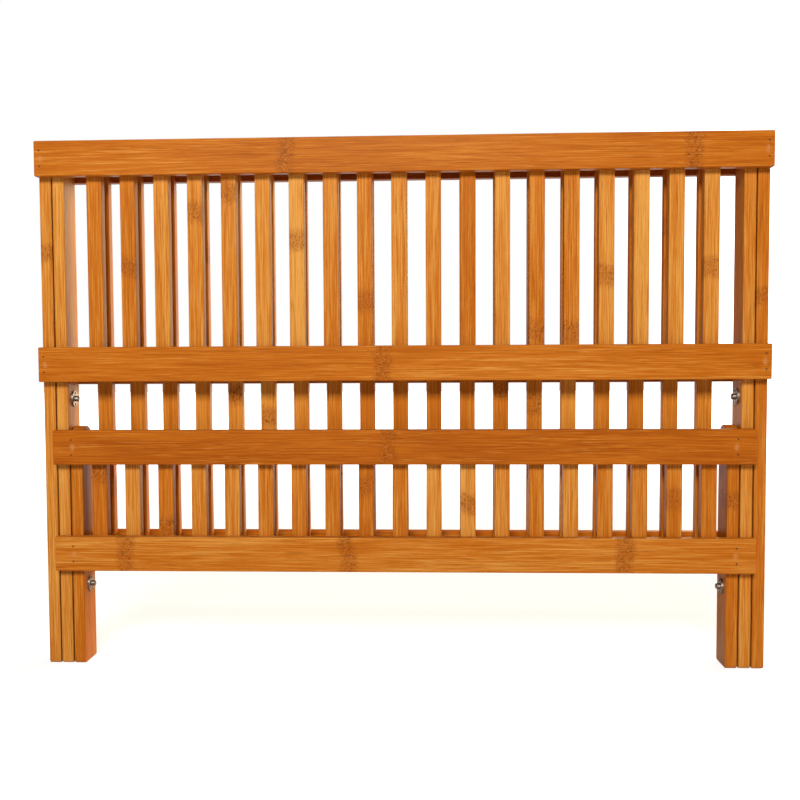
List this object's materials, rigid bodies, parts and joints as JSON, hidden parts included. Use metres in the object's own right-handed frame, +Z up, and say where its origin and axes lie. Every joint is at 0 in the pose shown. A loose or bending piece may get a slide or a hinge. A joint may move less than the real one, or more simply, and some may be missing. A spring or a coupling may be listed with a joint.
{
  "type": "folding dish drying rack",
  "caption": "Folding two-tier bamboo dish drying rack: crossed slatted frames on side bolts, with a short lower frame for cups, folded flat.",
  "frame": {"origin": "on the floor under the middle of the folded rack, midway between its front and back rails", "axes": "+X to the right along the width as seen from the front, +Y towards the back, +Z up along the legs"},
  "size_m": [0.52, 0.041, 0.379],
  "materials": {
    "bamboo_leg": "satin lacquer over caramel bamboo",
    "bamboo_rail": "satin lacquer over caramel bamboo",
    "bamboo_slat": "satin lacquer over caramel bamboo",
    "zinc_steel": "zinc plated",
    "brad_steel": "dull wire"
  },
  "bodies": {
    "pivot_bolts": {"centre_pivot_bolts": "zinc_steel"},
    "front_frame": {"front_leg_left": "bamboo_leg", "front_leg_right": "bamboo_leg", "front_top_rail": "bamboo_rail", "front_stop_rail": "bamboo_rail", "front_slat_01": "bamboo_slat", "front_slat_02": "bamboo_slat", "front_slat_03": "bamboo_slat", "front_slat_04": "bamboo_slat", "front_slat_05": "bamboo_slat", "front_slat_06": "bamboo_slat", "front_slat_07": "bamboo_slat", "front_slat_08": "bamboo_slat", "front_slat_09": "bamboo_slat", "front_slat_10": "bamboo_slat", "front_slat_11": "bamboo_slat", "front_slat_12": "bamboo_slat", "front_slat_13": "bamboo_slat", "front_slat_14": "bamboo_slat", "front_slat_15": "bamboo_slat", "front_slat_16": "bamboo_slat", "front_slat_17": "bamboo_slat", "front_slat_18": "bamboo_slat", "front_slat_19": "bamboo_slat", "front_frame_brads": "brad_steel"},
    "rear_frame": {"rear_leg_left": "bamboo_leg", "rear_leg_right": "bamboo_leg", "rear_top_rail": "bamboo_rail", "rear_middle_rail": "bamboo_rail", "rear_bottom_rail": "bamboo_rail", "rear_slat_01": "bamboo_slat", "rear_slat_02": "bamboo_slat", "rear_slat_03": "bamboo_slat", "rear_slat_04": "bamboo_slat", "rear_slat_05": "bamboo_slat", "rear_slat_06": "bamboo_slat", "rear_slat_07": "bamboo_slat", "rear_slat_08": "bamboo_slat", "rear_slat_09": "bamboo_slat", "rear_slat_10": "bamboo_slat", "rear_slat_11": "bamboo_slat", "rear_slat_12": "bamboo_slat", "rear_slat_13": "bamboo_slat", "rear_slat_14": "bamboo_slat", "rear_slat_15": "bamboo_slat", "rear_slat_16": "bamboo_slat", "rear_slat_17": "bamboo_slat", "rear_slat_18": "bamboo_slat", "rear_slat_19": "bamboo_slat", "rear_frame_brads": "brad_steel", "centre_tee_nuts": "zinc_steel"},
    "lower_frame": {"lower_leg_left": "bamboo_leg", "lower_leg_right": "bamboo_leg", "lower_top_rail": "bamboo_rail", "lower_bottom_rail": "bamboo_rail", "lower_slats": "bamboo_slat", "lower_frame_brads": "brad_steel", "lower_pivot_bolts": "zinc_steel", "lower_tee_nuts": "zinc_steel"}
  },
  "joints": [
    {"name": "rear_frame_fold", "type": "hinge", "parent": "pivot_bolts", "child": "rear_frame", "pos_m": [0, 0, 0.1945], "axis": [-1, 0, 0], "range_deg": [0, 45]},
    {"name": "front_frame_fold", "type": "hinge", "parent": "pivot_bolts", "child": "front_frame", "pos_m": [0, 0, 0.1945], "axis": [1, 0, 0], "range_deg": [0, 45]},
    {"name": "lower_frame_fold", "type": "hinge", "parent": "rear_frame", "child": "lower_frame", "pos_m": [0, 0, 0.057], "axis": [1, 0, 0], "range_deg": [0, 90]}
  ],
  "couplings": [
    {"joint": "front_frame_fold", "follows": "rear_frame_fold", "ratio": 1}
  ]
}
